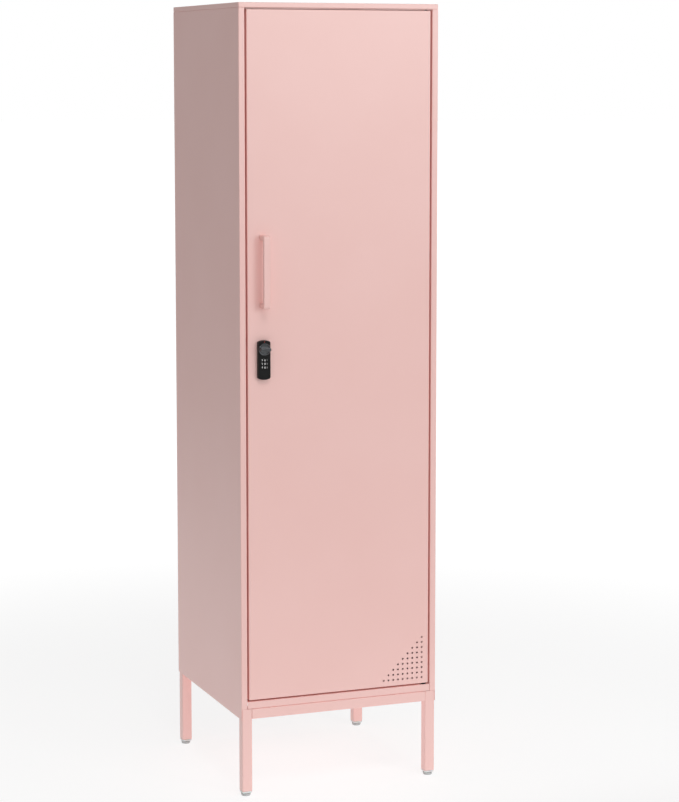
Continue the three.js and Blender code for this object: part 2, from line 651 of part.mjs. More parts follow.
const nutFrom = CAM_FRONT + 2.5 + GAP;
const nut = [[4.3, nutFrom], [6.5, nutFrom], [6.5, spindleEnd - 0.8], [5.9, spindleEnd - 0.2], [4.3, spindleEnd - 0.2]];
addPiece("lock_cam_nut", turned(nut, "y", [LOCK_X, 0, KNOB_Z], 24), BLACK);

export default locker;
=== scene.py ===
"""The looks of the locker cabinet: fine sheet-metal, lock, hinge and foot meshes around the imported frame.

Metres, +Z up, the door faces -Y. Each CAD node is replaced by a finer mesh of the same size and place.
"""
import json
import math

import bmesh
import bpy
from mathutils import Matrix, Vector


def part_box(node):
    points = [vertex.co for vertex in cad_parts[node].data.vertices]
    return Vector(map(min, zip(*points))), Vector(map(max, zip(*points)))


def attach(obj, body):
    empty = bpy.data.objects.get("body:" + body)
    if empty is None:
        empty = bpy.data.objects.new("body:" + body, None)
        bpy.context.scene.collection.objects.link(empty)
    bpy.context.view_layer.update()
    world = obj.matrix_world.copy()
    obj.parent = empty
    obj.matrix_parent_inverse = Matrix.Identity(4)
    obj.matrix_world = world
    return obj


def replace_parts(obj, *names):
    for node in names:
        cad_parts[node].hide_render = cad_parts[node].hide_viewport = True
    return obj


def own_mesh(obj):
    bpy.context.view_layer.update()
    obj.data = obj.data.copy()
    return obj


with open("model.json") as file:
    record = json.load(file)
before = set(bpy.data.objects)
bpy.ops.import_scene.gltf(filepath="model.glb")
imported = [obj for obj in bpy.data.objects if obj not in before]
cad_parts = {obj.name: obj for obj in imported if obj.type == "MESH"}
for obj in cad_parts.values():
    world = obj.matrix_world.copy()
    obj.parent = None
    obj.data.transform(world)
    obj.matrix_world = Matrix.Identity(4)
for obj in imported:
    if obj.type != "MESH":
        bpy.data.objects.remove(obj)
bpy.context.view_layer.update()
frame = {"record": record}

# ---- Sizes taken from the frame ----


def extent(node):
    """x0, x1, y0, y1, z0, z1 of a CAD node."""
    low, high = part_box(node)
    return low.x, high.x, low.y, high.y, low.z, high.z


def middle_of(node):
    """The centre of a CAD node's box."""
    low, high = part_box(node)
    return (low + high) / 2


LEFT, RIGHT, FRONT, BACK, BODY_TOP, TOP = extent("top_panel")
DOOR_X0, DOOR_X1, _, DOOR_BACK, DOOR_Z0, DOOR_Z1 = extent("door_panel")
MIDDLE_Y = (FRONT + BACK) / 2
BASE_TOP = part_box("base_rail_front")[1].z
BASE_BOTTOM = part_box("base_rail_front")[0].z
PIVOT = Vector((*middle_of("lower_hinge_washer").xy, 0))
LOCK_X = middle_of("lock_housing").x
LOCK_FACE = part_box("lock_housing")[0].y
KNOB_Z = middle_of("lock_knob").z
SPINDLE = (LOCK_X, KNOB_Z)
SHELVES = ("lower_shelf", "middle_shelf", "upper_shelf")
CORNERS = ("front_left", "front_right", "back_left", "back_right")
DIALS = ("dial_lower", "dial_middle", "dial_upper")

# ---- Sizes that the frame's boxes don't give, as in the CAD part ----
SHEET = 0.001
GAP = 0.0003
SEAM = 0.00005  # left open where the real sheets and tubes are welded or pressed together
BEND = 0.0008  # radius of a fold, at the middle of the sheet
HALF = SHEET / 2
SUPPORT = 0.0004  # width of the flat strip beside a rounded edge that keeps a face's shading flat
STEPS = 4  # facets in a quarter turn
STILE_FACE = 0.012
STILE_DEPTH = 0.022
STILE_RETURN = 0.010
COLUMN_FACE = 0.019
COLUMN_DEPTH = 0.008
SLOT_DROP = 0.012
SLOT_PITCH = 0.0505
SLOT_HEIGHT = 0.003
FRONT_SLOT = (0.0014, 0.0077)  # a front slot's two ends, from the fold at the stile's edge
REAR_SLOT = (0.0028, 0.0138)  # a rear slot's two ends, from the fold at the column's edge
STOP = FRONT + 0.0235  # the sheet that the shut door's bumpers meet
SILL_TOP = BASE_TOP + 0.014
PIVOT_HOLE = 0.0028  # radii from here on
PIVOT_PIN = 0.0025
SCREW_HOLE = 0.0023
SPINDLE_HOLE = 0.0043
SHAFT_HOLE = 0.0018

BODY_OF = {node: body for body, nodes in frame["record"]["behaviour"]["bodies"].items() for node in nodes}
SLOT_OF = {part["node"]: part["material_slot"] for part in frame["record"]["subparts"]}

# ---- Lines and outlines: 2-D points (u, v), with w along the axis that their plane faces ----


def at(axis, u, v, w):
    """The place of plane coordinates (u, v) and w in the frame."""
    return {"x": (w, u, v), "y": (u, w, v), "z": (u, v, w)}[axis]


def turn_of(p, before, after):
    """Directions in and out of a corner, and the signed angle between them."""
    come = (p - before).normalized()
    leave = (after - p).normalized()
    return come, leave, math.atan2(come.x * leave.y - come.y * leave.x, come.dot(leave))


def fillet(points, radius, closed=False, support=0.0, steps=STEPS):
    """A line with its corners turned into arcs.

    radius is one number, or a list with None at a corner that stays.
    """
    line = [Vector(p) for p in points]
    count = len(line)
    radii = radius if isinstance(radius, list) else [radius] * count
    made = []
    for i, p in enumerate(line):
        if not closed and i in (0, count - 1):
            made.append(p)
            continue
        before, after = line[i - 1], line[(i + 1) % count]
        come, leave, turn = turn_of(p, before, after)
        if abs(turn) < 1e-4 or radii[i] is None:
            made.append(p)
            continue
        tangent = math.tan(abs(turn) / 2)
        room = 0.48 * min((p - before).length, (after - p).length)
        reach = min(radii[i] * tangent, room)
        start = p - come * reach
        side = math.copysign(1, turn)
        centre = start + Vector((-come.y, come.x)) * side * reach / tangent
        if support and reach + support < room:
            made.append(start - come * support)
        for k in range(steps + 1):
            made.append(centre + Matrix.Rotation(turn * k / steps, 2) @ (start - centre))
        if support and reach + support < room:
            made.append(p + leave * (reach + support))
    return made


def mitres(line, closed):
    """For each point, the vector that moves it one unit to the left of the line's stretches on both sides."""
    count = len(line)
    ways = [line[(i + 1) % count] - line[i] for i in range(count)]
    lefts = [Vector((-w.y, w.x)).normalized() for w in ways]
    moves = []
    for i in range(count):
        before, after = lefts[i - 1], lefts[i]
        if not closed and i == 0:
            before = after
        if not closed and i == count - 1:
            after = before
        moves.append((before + after) / (1 + before.dot(after)))
    return moves


def inset(outline, distance):
    """A counter-clockwise outline moved inwards."""
    line = [Vector(p) for p in outline]
    return [p + move * distance for p, move in zip(line, mitres(line, True))]


def rounded(corners, distance=0.0, radius=0.0015, steps=STEPS):
    """A counter-clockwise outline moved inwards, with every corner an arc that keeps its own centre."""
    moved = inset(corners, distance)
    given = radius if isinstance(radius, list) else [radius] * len(moved)
    radii = []
    for i, p in enumerate(moved):
        turn = turn_of(p, moved[i - 1], moved[(i + 1) % len(moved)])[2]
        radii.append(max(given[i] - distance, 0) if turn > 0 else given[i] + distance)
    return fillet(moved, radii, closed=True, steps=steps)


def rectangle(u0, u1, v0, v1):
    return [(u0, v0), (u1, v0), (u1, v1), (u0, v1)]


def across_lock(half, v0, v1):
    """A rectangle that reaches as far to the left as to the right of the lock's middle."""
    return rectangle(LOCK_X - half, LOCK_X + half, v0, v1)


def polar(centre, radius, angle):
    return centre[0] + radius * math.cos(angle), centre[1] + radius * math.sin(angle)


def circle(centre, radius, segments=48):
    return [polar(centre, radius, 2 * math.pi * k / segments) for k in range(segments)]


# ---- Solids as bmesh ----


def loft(rings, caps=True, close=False):
    """Faces between rings of equally many points; the ends are capped, or closed on each other."""
    bm = bmesh.new()
    rows = [[bm.verts.new(p) for p in ring] for ring in rings]
    pairs = list(zip(rows, rows[1:]))
    if close:
        pairs.append((rows[-1], rows[0]))
    count = len(rows[0])
    for low, high in pairs:
        for i in range(count):
            j = (i + 1) % count
            bm.faces.new((low[i], low[j], high[j], high[i]))
    if caps and not close:
        bm.faces.new(rows[0])
        bm.faces.new(rows[-1])
    bmesh.ops.remove_doubles(bm, verts=bm.verts, dist=1e-7)
    return bm


def rim(radius, face, way, steps=STEPS):
    """(inset, w) over a rounded edge, from the face to the side; way points from the face into the solid."""
    angles = [math.pi / 2 * k / steps for k in range(steps + 1)]
    return [(radius * (1 - math.sin(a)), face + way * radius * (1 - math.cos(a))) for a in angles]


def edge_levels(w0, w1, edges, steps):
    """(inset, w) down one rounded end of a slab and up the other."""
    way = math.copysign(1, w1 - w0)
    room = abs(w1 - w0) * 0.45
    ends = []
    for start, sign, edge in ((w0, way, edges[0]), (w1, -way, edges[1])):
        if edge:
            strip = (0.0, start + sign * min(edge + SUPPORT, room))
            ends.append([(edge + SUPPORT, start), *rim(edge, start, sign, steps), strip])
        else:
            ends.append([(0.0, start)])
    return ends[0] + ends[1][::-1]


def stacked(outline, axis, levels, close=False):
    """A loft of an outline through (inset, w) levels.

    outline is points, or a function that gives them for the distance that they are moved inwards.
    """
    rings = []
    for distance, w in levels:
        points = outline(distance) if callable(outline) else inset(outline, distance)
        rings.append([at(axis, *p, w) for p in points])
    return loft(rings, close=close)


def slab(outline, axis, w0, w1, edges=(0, 0), steps=3):
    """An outline carried from w0 to w1; edges are the radii round its two faces."""
    return stacked(outline, axis, edge_levels(w0, w1, edges, steps))


def block(x0, x1, y0, y1, z0, z1, corner, edge):
    """A box with rounded corners, seen along Z, and rounded edges above and below."""
    return slab(lambda d: rounded(rectangle(x0, x1, y0, y1), d, corner), "z", z0, z1, (edge, edge))


def turned(profile, axis, centre, segments=48, close=False):
    """A solid of revolution from (radius, w) points."""
    rings = [[at(axis, *p, w) for p in circle(centre, r, segments)] for r, w in profile]
    return loft(rings, caps=False, close=close)


def rod(radius, axis, centre, w0, w1, flare=0.0, segments=32):
    """A plain round cutter; flare widens its two ends, which chamfers the rims of the hole that it makes."""
    middle = [(radius, w0 + 2 * flare), (radius, w1 - 2 * flare)]
    profile = [(0, w0), (radius + flare, w0), *(middle if flare else []), (radius + flare, w1), (0, w1)]
    return turned(profile, axis, centre, segments)


def tray(corners, axis, plate, mouth, lip, corner=0.0015):
    """A plate at w = plate whose edges are folded towards w = mouth, and then turned in by lip."""
    depth, way = abs(mouth - plate), math.copysign(1, mouth - plate)
    section = [(2 * BEND + HALF, HALF), (HALF, HALF), (HALF, depth - HALF), (lip, depth - HALF)]
    line = fillet(section, BEND, support=SUPPORT)
    sides = list(zip(line, mitres(line, False)))
    skins = [p + m * HALF for p, m in sides] + [p - m * HALF for p, m in reversed(sides)]
    levels = [(d, plate + way * h) for d, h in skins]
    return stacked(lambda d: rounded(corners, d, corner), axis, levels)


def folded_sheet(path, axis, levels, bend=BEND, thickness=SHEET, there=lambda u, v, w: True):
    """A sheet folded along a path and carried through levels of w.

    there says for the middle of each of its cells whether the cell stays or is cut away.
    """
    line = fillet(path, bend, support=SUPPORT)
    bm = bmesh.new()
    grid = []
    for p, move in zip(line, mitres(line, False)):
        both = (p + move * thickness / 2, p - move * thickness / 2)
        grid.append([[bm.verts.new(at(axis, *q, w)) for w in levels] for q in both])
    columns, rows = range(len(line) - 1), range(len(levels) - 1)
    middles = [(line[i] + line[i + 1]) / 2 for i in columns]
    cells = {(i, k) for i in columns for k in rows if there(*middles[i], (levels[k] + levels[k + 1]) / 2)}
    for i, k in cells:
        a, b = grid[i], grid[i + 1]
        faces = [(a[s][k], b[s][k], b[s][k + 1], a[s][k + 1]) for s in (0, 1)]
        for step, c in ((-1, a), (1, b)):
            if (i + step, k) not in cells:
                faces.append((c[0][k], c[0][k + 1], c[1][k + 1], c[1][k]))
        for step, level in ((-1, k), (1, k + 1)):
            if (i, k + step) not in cells:
                faces.append((a[0][level], b[0][level], b[1][level], a[1][level]))
        for face in faces:
            bm.faces.new(face)
    bmesh.ops.delete(bm, geom=[v for v in bm.verts if not v.link_faces], context="VERTS")
    return bm


def mesh_from(bm, name):
    """The mesh of a bmesh, which is used up."""
    mesh = bpy.data.meshes.new(name)
    bm.to_mesh(mesh)
    bm.free()
    return mesh


def linked(name, data):
    """A new object in the scene."""
    obj = bpy.data.objects.new(name, data)
    bpy.context.scene.collection.objects.link(obj)
    return obj


def joined(solids):
    """Several solids that don't meet, as one bmesh."""
    whole = bmesh.new()
    for bm in solids:
        mesh = mesh_from(bm, "part")
        whole.from_mesh(mesh)
        bpy.data.meshes.remove(mesh)
    return whole


def boolean(bm, tools, operation="DIFFERENCE"):
    """The solid cut by, or joined with, the tools."""
    objects = []
    for name, solid in (("target", bm), ("tool", joined(tools))):
        bmesh.ops.recalc_face_normals(solid, faces=solid.faces)
        objects.append(linked(name, mesh_from(solid, name)))
    target, tool = objects
    cut = target.modifiers.new("cut", "BOOLEAN")
    cut.operation, cut.solver, cut.object = operation, "EXACT", tool
    graph = bpy.context.evaluated_depsgraph_get()
    mesh = bpy.data.meshes.new_from_object(target.evaluated_get(graph))
    made = bmesh.new()
    made.from_mesh(mesh)
    bmesh.ops.remove_doubles(made, verts=made.verts, dist=1e-6)
    for obj in objects:
        bpy.data.meshes.remove(obj.data)
    bpy.data.meshes.remove(mesh)
    return made


def make_object(bm, name, body, material, angle=32):
    """A shaded piece that rides on its body; edges sharper than angle, in degrees, stay sharp."""
    bmesh.ops.recalc_face_normals(bm, faces=bm.faces)
    mesh = mesh_from(bm, name)
    mesh.shade_smooth()
    mesh.set_sharp_from_angle(angle=math.radians(angle))
    mesh.materials.append(material)
    obj = linked(name, mesh)
    level = obj.modifiers.new("level", "WEIGHTED_NORMAL")  # keeps wide faces flat beside rounded edges
    level.keep_sharp = True
    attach(obj, body)
    return obj


def finished(bm, node, angle=32):
    """The fine mesh that takes a CAD node's place, on its body and in its material slot."""
    slot = SLOT_OF[node]
    obj = make_object(bm, node + "_finished", BODY_OF[node], MATERIALS[slot], angle)
    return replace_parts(obj, node)


# ---- Materials ----


def new_material(name, base, roughness, metallic=0.0, **more):
    """A Principled material with its plain numbers set, and its nodes, links and shader for the rest."""
    material = bpy.data.materials.new(name)
    material.use_nodes = True
    nodes, links = material.node_tree.nodes, material.node_tree.links
    shader = nodes["Principled BSDF"]
    shader.inputs["Base Color"].default_value = (*base, 1)
    shader.inputs["Roughness"].default_value = roughness
    shader.inputs["Metallic"].default_value = metallic
    for socket, value in more.items():
        shader.inputs[socket.replace("_", " ")].default_value = value
    return material, nodes, links, shader


def noise(nodes, links, scale, detail=2.0, stretch=(1, 1, 1)):
    """A noise value that follows the object's own coordinates."""
    place = nodes.new("ShaderNodeTexCoord")
    mapping = nodes.new("ShaderNodeMapping")
    mapping.inputs["Scale"].default_value = stretch
    texture = nodes.new("ShaderNodeTexNoise")
    texture.inputs["Scale"].default_value = scale
    texture.inputs["Detail"].default_value = detail
    links.new(place.outputs["Object"], mapping.inputs["Vector"])
    links.new(mapping.outputs["Vector"], texture.inputs["Vector"])
    return texture.outputs["Fac"]


def ramp(nodes, links, value, stops, target):
    """A value turned into a colour, or into a grey for a number."""
    node = nodes.new("ShaderNodeValToRGB")
    elements = node.color_ramp.elements
    for element, (position, colour) in zip(elements, stops):
        element.position = position
        element.color = (*colour, 1)
    links.new(value, node.inputs["Fac"])
    links.new(node.outputs["Color"], target)


def grain(nodes, links, shader, value, strength, distance):
    """A bump of the surface that follows a value."""
    bump = nodes.new("ShaderNodeBump")
    bump.inputs["Strength"].default_value = strength
    bump.inputs["Distance"].default_value = distance
    links.new(value, bump.inputs["Height"])
    links.new(bump.outputs["Normal"], shader.inputs["Normal"])


def grey(value):
    return (value, value, value)


def surface(name, low, high, roughness, scales, bump, metallic=0.0, stretch=(1, 1, 1), **more):
    """Colour that drifts from low to high in patches, and a fine grain in the roughness and the surface.

    scales are those of the patches and of the grain; bump is the grain's strength and depth.
    """
    middle = [(a + b) / 2 for a, b in zip(low, high)]
    smooth, rough = roughness
    material, nodes, links, shader = new_material(name, middle, (smooth + rough) / 2, metallic, **more)
    drift = noise(nodes, links, scales[0], 3.0, stretch)
    ramp(nodes, links, drift, [(0.35, low), (0.65, high)], shader.inputs["Base Color"])
    texture = noise(nodes, links, scales[1], 2.0, stretch)
    ramp(nodes, links, texture, [(0.3, grey(smooth)), (0.7, grey(rough))], shader.inputs["Roughness"])
    grain(nodes, links, shader, texture, *bump)
    return material


# The deepest and the palest colour, the least and the most roughness, the scales of the patches and of the
# grain, and the grain's strength and depth.
LOOKS = {
    "powder_coat": ((0.952, 0.594, 0.550), (0.966, 0.612, 0.570), (0.34, 0.42), (5, 900), (0.16, 0.00006)),
    "zinc_steel": ((0.56, 0.57, 0.59), (0.66, 0.67, 0.69), (0.24, 0.38), (160, 2600), (0.10, 0.00003)),
    "white_plastic": ((0.74, 0.75, 0.75), (0.80, 0.81, 0.81), (0.30, 0.40), (90, 1800), (0.08, 0.00004)),
    "grey_plastic": (grey(0.46), grey(0.54), (0.35, 0.48), (120, 1500), (0.15, 0.00004)),
    "black_plastic": (grey(0.006), grey(0.009), (0.36, 0.48), (150, 2400), (0.18, 0.00004)),
    "blackened_steel": (grey(0.030), grey(0.055), (0.32, 0.48), (220, 2000), (0.12, 0.00004)),
    "gunmetal": ((0.100, 0.104, 0.110), (0.140, 0.145, 0.152), (0.18, 0.27), (140, 2600), (0.08, 0.00003)),
    "black_rubber": (grey(0.012), grey(0.02), (0.68, 0.85), (260, 1600), (0.3, 0.00006)),
    "white_mark": (grey(0.72), grey(0.80), (0.45, 0.6), (900, 3000), (0.05, 0.00002)),
    "red_mark": ((0.55, 0.05, 0.04), (0.62, 0.07, 0.05), (0.4, 0.5), (900, 3000), (0.05, 0.00002)),
}
EXTRAS = {
    "powder_coat": {"Specular_IOR_Level": 1.0},
    "zinc_steel": {"metallic": 1.0, "stretch": (1, 1, 0.2)},
    "white_plastic": {"Subsurface_Weight": 0.15, "Subsurface_Scale": 0.003},
    "black_plastic": {"Specular_IOR_Level": 0.2},
    "blackened_steel": {"metallic": 0.85},
    "gunmetal": {"metallic": 1.0},
}


def make_materials():
    """One material for each slot of the record, and two marking paints."""
    return {name: surface(name, *look, **EXTRAS.get(name, {})) for name, look in LOOKS.items()}


# ---- Body panels ----


def slot_levels():
    """The clip slots' edges in z, bottom and top, three slots for each shelf."""
    hung = [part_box(name)[1].z - SLOT_DROP for name in SHELVES]
    middles = [z + step * SLOT_PITCH for z in hung for step in (-1, 0, 1)]
    return [(z - SLOT_HEIGHT / 2, z + SLOT_HEIGHT / 2) for z in middles]


def side_panel(node, side):
    """Front stile, outer skin, rear column and the skirt over the base, folded from one sheet."""
    skin = RIGHT - HALF
    stile = RIGHT - STILE_FACE + HALF
    stile_back = FRONT + STILE_DEPTH - HALF
    rear = BACK - SHEET - GAP - HALF
    column = RIGHT - COLUMN_FACE + HALF
    column_front = rear - COLUMN_DEPTH + SHEET
    front_slot = [stile + end for end in FRONT_SLOT]
    rear_slot = [column + end for end in REAR_SLOT]
    path = [(x, stile_back) for x in (stile + STILE_RETURN, *front_slot[::-1], stile)]
    path += [(stile, FRONT + HALF), (skin, FRONT + HALF), (skin, rear), (column, rear)]
    path += [(x, column_front) for x in (column, *rear_slot, skin - SHEET)]
    slots = slot_levels()
    levels = [BASE_BOTTOM, BASE_TOP + GAP, *[z for pair in slots for z in pair], BODY_TOP - SEAM]

    def there(u, v, w):
        """Only the skin reaches down past the base, and the slots are open."""
        x = side * u
        if w < BASE_TOP:
            return x > skin - HALF / 2
        in_front = abs(v - stile_back) < HALF / 2 and front_slot[0] < x < front_slot[1]
        in_rear = abs(v - column_front) < HALF / 2 and rear_slot[0] < x < rear_slot[1]
        return not ((in_front or in_rear) and any(low < w < high for low, high in slots))

    finished(folded_sheet([(side * x, y) for x, y in path], "z", levels, there=there), node)


def back_panel():
    x0, x1, y0, y1, z0, _ = extent("back_panel")
    outline = rounded(rectangle(x0, x1, z0, BODY_TOP - SEAM), radius=0.001)
    finished(slab(outline, "y", y0, y1, (0.0002, 0.0003), 2), "back_panel")


def pivot_cutter(w0, w1, radius=PIVOT_HOLE):
    """A cutter for a hole that a pivot pin runs in."""
    return rod(radius, "z", PIVOT.xy, w0, w1)


def top_panel():
    """A shallow tray, mouth down; its lip clears the tip of the upper hinge pin."""
    cap = tray(rectangle(LEFT, RIGHT, FRONT, BACK), "z", TOP, BODY_TOP, lip=0.014, corner=0.002)
    clearance = pivot_cutter(BODY_TOP - SHEET, BODY_TOP + 3 * SHEET, PIVOT_HOLE + GAP)
    finished(boolean(cap, [clearance]), "top_panel")


def top_header():
    """The folded strip behind the door's top edge, with the upper pin's hole."""
    x0, x1, _, _, z0, z1 = extent("top_header")
    path = [(FRONT + GAP, z1 - HALF), (STOP, z1 - HALF), (STOP, z0)]
    header = folded_sheet(path, "x", [x0, x1])
    finished(boolean(header, [pivot_cutter(z1 - 3 * SHEET, z1 + SHEET)]), "top_header")


def floor_panel():
    """Fascia, sill, riser, floor and rear flange in one fold, wider behind the stiles."""
    x0, x1, _, rear_face, bottom, floor_top = extent("floor_panel")
    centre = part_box("top_header")[1].x
    between = RIGHT - COLUMN_FACE - GAP
    top = floor_top - HALF
    wing_front = STOP + 0.002
    wing_back = MIDDLE_Y + 0.190
    rear = rear_face - HALF
    sill = SILL_TOP - HALF
    path = [(FRONT + HALF, bottom), (FRONT + HALF, sill), (STOP, sill)]
    path += [(y, top) for y in (STOP, wing_front, wing_back, rear)] + [(rear, bottom)]

    def there(u, v, w):
        """The wings reach under the side panels, and the rear goes only between the columns."""
        if abs(w) > centre:
            return wing_front < u < wing_back
        return abs(w) < between or u < wing_back

    floor = folded_sheet(path, "x", [x0, -centre, -between, between, centre, x1], there=there)
    finished(boolean(floor, [pivot_cutter(SILL_TOP - 3 * SHEET, SILL_TOP + SHEET)]), "floor_panel")


def shelf(node):
    """A tray with its edges folded down all round, and a tongue between the rear columns."""
    x0, x1, front, rear, bottom, top = extent(node)
    shoulder = MIDDLE_Y + 0.188
    tongue = RIGHT - COLUMN_FACE - 2 * GAP
    corners = [(x0, front), (x1, front), (x1, shoulder), (tongue, shoulder)]
    corners += [(tongue, rear), (-tongue, rear), (-tongue, shoulder), (x0, shoulder)]
    finished(tray(corners, "z", top, bottom, lip=0.010, corner=0.001), node)


def clip(node, shelf_top):
    """A bent strip that hooks down behind the slot's sheet, with a tongue under the shelf's edge."""
    x0, x1, y0, y1, z0, _ = extent(node)
    thickness, bend, drop = 0.0012, 0.0009, 0.005
    facing = 1 if "rear" in node else -1
    tip, back = (y0, y1) if facing > 0 else (y1, y0)
    hook = back - facing * thickness / 2
    face = hook - facing * (SHEET + thickness + 3 * GAP)
    tongue = z0 + thickness / 2
    slot = shelf_top - SLOT_DROP
    path = [(tip, tongue), (face, tongue), (face, slot), (hook, slot), (hook, slot - drop)]
    finished(folded_sheet(path, "x", [x0, x1], bend, thickness), node)


def body():
    side_panel("left_side_panel", -1)
    side_panel("right_side_panel", 1)
    back_panel()
    top_panel()
    top_header()
    floor_panel()
    for name in SHELVES:
        shelf(name)
        for place in ("rear_left", "rear_right", "front_left", "front_right"):
            clip(f"{name}_clip_{place}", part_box(name)[1].z)


# ---- Base ----
TUBE = BASE_TOP - BASE_BOTTOM
TUBE_WALL = 0.0012
TUBE_CORNER = 0.0022
THREAD_PITCH = 0.00125
THREAD_DEPTH = 0.0006
THREAD_RADIUS = 0.004


def square_tube(node, axis, edge=0.0002, reach=0.0):
    """A hollow square tube, open at both ends; reach lengthens one along X or Y towards its neighbours."""
    x0, x1, y0, y1, z0, z1 = extent(node)
    u0, u1, v0, v1, w0, w1 = {
        "x": (y0, y1, z0, z1, x0 - reach, x1 + reach),
        "y": (x0, x1, z0, z1, y0 - reach, y1 + reach),
        "z": (x0, x1, y0, y1, z0, z1),
    }[axis]
    outer = rectangle(u0, u1, v0, v1)
    levels = [(edge, w0), (0, w0 + edge), (0, w1 - edge), (edge, w1), (TUBE_WALL, w1), (TUBE_WALL, w0)]
    finished(stacked(lambda d: rounded(outer, d, TUBE_CORNER), axis, levels, close=True), node)


def foot_insert(node):
    """A plug in the leg's end with a collar under it, and a bore for the foot's stem."""
    x0, x1, y0, y1, z0, z1 = extent(node)
    under_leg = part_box(node.replace("foot_insert", "leg"))[0].z - GAP
    wall = (x1 - x0) / 2 - (TUBE / 2 - TUBE_WALL - GAP)
    levels = [(0.0010, z0), (0.0003, z0 + 0.0004), (0, z0 + 0.0012)]
    levels += [(0, under_leg - GAP), (0.0004, under_leg), (wall, under_leg)]
    levels += [(wall, z1 - 0.001), (wall + 0.001, z1)]
    plug = stacked(lambda d: rounded(rectangle(x0, x1, y0, y1), d, 0.0028), "z", levels)
    bore = rod(THREAD_RADIUS + GAP, "z", middle_of(node).xy, z0 - SHEET, z1 + SHEET)
    finished(boolean(plug, [bore]), node)


def around(centre, radii, z):
    """A ring with one radius for each of its evenly spaced directions."""
    step = 2 * math.pi / len(radii)
    return [(*polar(centre, r, step * k), z) for k, r in enumerate(radii)]


def fluted(radius, depth, segments):
    """Radii round a disc whose rim has grip flutes of some depth."""
    flutes = 12
    turns = [2 * math.pi * k / segments for k in range(segments)]
    return [radius - depth * max(0, math.cos(flutes * a)) ** 2 for a in turns]


def threaded(z, segments):
    """Radii round a screw thread at a height."""
    phases = [(z / THREAD_PITCH - k / segments) % 1 for k in range(segments)]
    return [THREAD_RADIUS - THREAD_DEPTH * abs(2 * phase - 1) for phase in phases]


def levelling_foot(node):
    """A disc foot with a fluted rim, and a threaded stem."""
    x0, x1, _, _, z0, z1 = extent(node)
    centre, rim_radius = middle_of(node), (x1 - x0) / 2
    segments, stem, neck = 72, z0 + 0.0062, THREAD_RADIUS + 0.0001
    under = [(rim_radius, 0), (0.0022, 0), (0.0014, 0.0002)]
    grip = [(0.0008, 0.0009), (0.0004, 0.0028), (0.0001, 0.0046)]
    over = [(0, 0.0050), (0.0002, 0.0055), (0.0006, 0.0058), (rim_radius - neck, 0.0058)]
    rings = []
    for points, depth in ((under, 0), (grip, 0.0005), (over, 0)):
        rings += [around(centre, fluted(rim_radius - d, depth, segments), z0 + h) for d, h in points]
    step = THREAD_PITCH / 4
    for k in range(round((z1 - 0.0013 - stem) / step) + 1):
        rings.append(around(centre, threaded(stem + k * step, segments), stem + k * step))
    rings.append(around(centre, [THREAD_RADIUS - SHEET] * segments, z1))
    rings.append(around(centre, [0] * segments, z1))
    finished(loft(rings, caps=False), node, 50)


def base():
    for side, axis in (("front", "x"), ("back", "x"), ("left", "y"), ("right", "y")):
        square_tube("base_rail_" + side, axis, SEAM, GAP - SEAM)
    for corner in CORNERS:
        square_tube("leg_" + corner, "z")
        foot_insert("foot_insert_" + corner)
        levelling_foot("levelling_foot_" + corner)


# ---- Door ----
VENT_PITCH = 0.010
VENT_ROWS = 9
VENT_RADIUS = 0.0018
VENT_FLARE = 0.0002
VENT_CORNER = (DOOR_X1 - 0.0133, DOOR_Z0 + 0.012)
ENDS = ("upper", "lower")


def vent_cutters():
    """A triangle of small round holes in the lower corner on the hinge side."""
    cutters = []
    faces = (FRONT - VENT_FLARE, FRONT + SHEET + VENT_FLARE)
    for column in range(VENT_ROWS):
        for row in range(VENT_ROWS - column):
            centre = (VENT_CORNER[0] - column * VENT_PITCH, VENT_CORNER[1] + row * VENT_PITCH)
            cutters.append(rod(VENT_RADIUS, "y", centre, *faces, VENT_FLARE, 20))
    return cutters


def door_panel():
    """A tray with its mouth to the inside, cut for the lock, handle, bumpers, pivot pins and vents."""
    pan = tray(rectangle(DOOR_X0, DOOR_X1, DOOR_Z0, DOOR_Z1), "y", FRONT, DOOR_BACK, lip=0.013)
    _, _, _, _, lock_z0, lock_z1 = extent("lock_housing")
    half, margin = 0.0103, 0.004
    hole = across_lock(half, lock_z0 + margin, lock_z1 - margin)
    through = (FRONT - SHEET, FRONT + 2 * SHEET)
    cutters = [slab(rounded(hole, radius=0.002), "y", *through)]
    for end in ENDS:
        screw, bumper = middle_of("handle_screw_" + end), middle_of("door_bumper_" + end)
        cutters.append(rod(SCREW_HOLE, "y", screw.xz, *through))
        cutters.append(rod(SCREW_HOLE, "y", bumper.xz, DOOR_BACK - 2 * SHEET, DOOR_BACK + SHEET))
    cutters.append(pivot_cutter(DOOR_Z0 - SHEET, DOOR_Z0 + 2 * SHEET))
    cutters.append(pivot_cutter(DOOR_Z1 - 2 * SHEET, DOOR_Z1 + SHEET))
    finished(boolean(pan, cutters + vent_cutters()), "door_panel")


def door_stiffener():
    """A hat section up the middle of the door, with its two flanges on the door's skin."""
    x0, x1, y0, y1, z0, z1 = extent("door_stiffener")
    flange_width, bend = 0.012, 0.0018
    face = x1 - flange_width
    flange, back = y0 + HALF, y1 - HALF
    path = [(x0, flange), (-face, flange), (-face, back), (face, back), (face, flange), (x1, flange)]
    finished(folded_sheet(path, "z", [z0, z1], bend), "door_stiffener")


def door_bumper(node):
    """A rubber button: a flat dome on a stem pushed through the door's lip."""
    x0, x1, y0, face, _, _ = extent(node)
    seat, stem, r = DOOR_BACK + GAP, 0.0019, (x1 - x0) / 2
    profile = [(0, y0), (stem, y0), (stem, seat), (r, seat), (r, face - 0.0005), (0, face)]
    finished(turned(fillet(profile, 0.0007, support=0.0001), "y", middle_of(node).xz), node)


